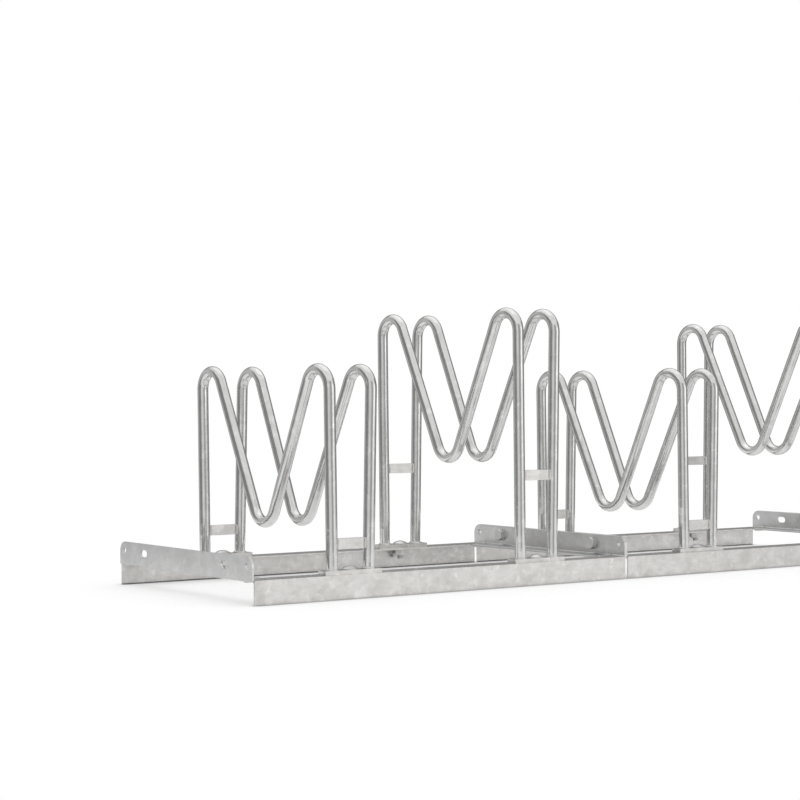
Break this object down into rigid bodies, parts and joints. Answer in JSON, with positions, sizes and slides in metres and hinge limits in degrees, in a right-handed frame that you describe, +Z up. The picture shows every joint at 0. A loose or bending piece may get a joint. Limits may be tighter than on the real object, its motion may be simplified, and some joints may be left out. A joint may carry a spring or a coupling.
{
  "type": "floor bike rack",
  "caption": "Low floor rack of galvanised steel: an angle frame with pairs of M-shaped tube hoops, low and tall in turn, that hold the wheels of parked bicycles.",
  "frame": {"origin": "on the floor below the middle of the rack", "axes": "+X along the rails, with the low first place at -X; +Y from the front rail to the back rail; +Z up"},
  "size_m": [1.4, 0.39, 0.4289],
  "materials": {
    "galvanised_angle": "hot-dip galvanised, matt grey zinc with a faint spangle",
    "galvanised_tube": "hot-dip galvanised round tube, smoother and a little brighter",
    "galvanised_flat": "hot-dip galvanised flat bar",
    "galvanised_fasteners": "hot-dip galvanised bolts, nuts and washers, slightly darker",
    "galvanised_welds": "weld beads under the zinc coat"
  },
  "bodies": {
    "root": {"rail_1_front": "galvanised_angle", "rail_1_back": "galvanised_angle", "cross_bar_1_left": "galvanised_angle", "cross_bar_1_right": "galvanised_angle", "rail_2_front": "galvanised_angle", "rail_2_back": "galvanised_angle", "cross_bar_2_left": "galvanised_angle", "cross_bar_2_right": "galvanised_angle", "hoop_1_left": "galvanised_tube", "hoop_1_right": "galvanised_tube", "foot_plate_1_front": "galvanised_flat", "foot_plate_1_back": "galvanised_flat", "spreader_1_front": "galvanised_flat", "spreader_1_back": "galvanised_flat", "hoop_2_left": "galvanised_tube", "hoop_2_right": "galvanised_tube", "foot_plate_2_front": "galvanised_flat", "foot_plate_2_back": "galvanised_flat", "spreader_2_front": "galvanised_flat", "spreader_2_back": "galvanised_flat", "hoop_3_left": "galvanised_tube", "hoop_3_right": "galvanised_tube", "foot_plate_3_front": "galvanised_flat", "foot_plate_3_back": "galvanised_flat", "spreader_3_front": "galvanised_flat", "spreader_3_back": "galvanised_flat", "hoop_4_left": "galvanised_tube", "hoop_4_right": "galvanised_tube", "foot_plate_4_front": "galvanised_flat", "foot_plate_4_back": "galvanised_flat", "spreader_4_front": "galvanised_flat", "spreader_4_back": "galvanised_flat", "foot_bolts": "galvanised_fasteners", "foot_washers": "galvanised_fasteners", "foot_nuts": "galvanised_fasteners", "joint_bolts": "galvanised_fasteners", "joint_washers": "galvanised_fasteners", "joint_nuts": "galvanised_fasteners", "foot_welds": "galvanised_welds", "spreader_welds": "galvanised_welds", "frame_welds_1": "galvanised_welds", "frame_welds_2": "galvanised_welds"}
  },
  "joints": []
}
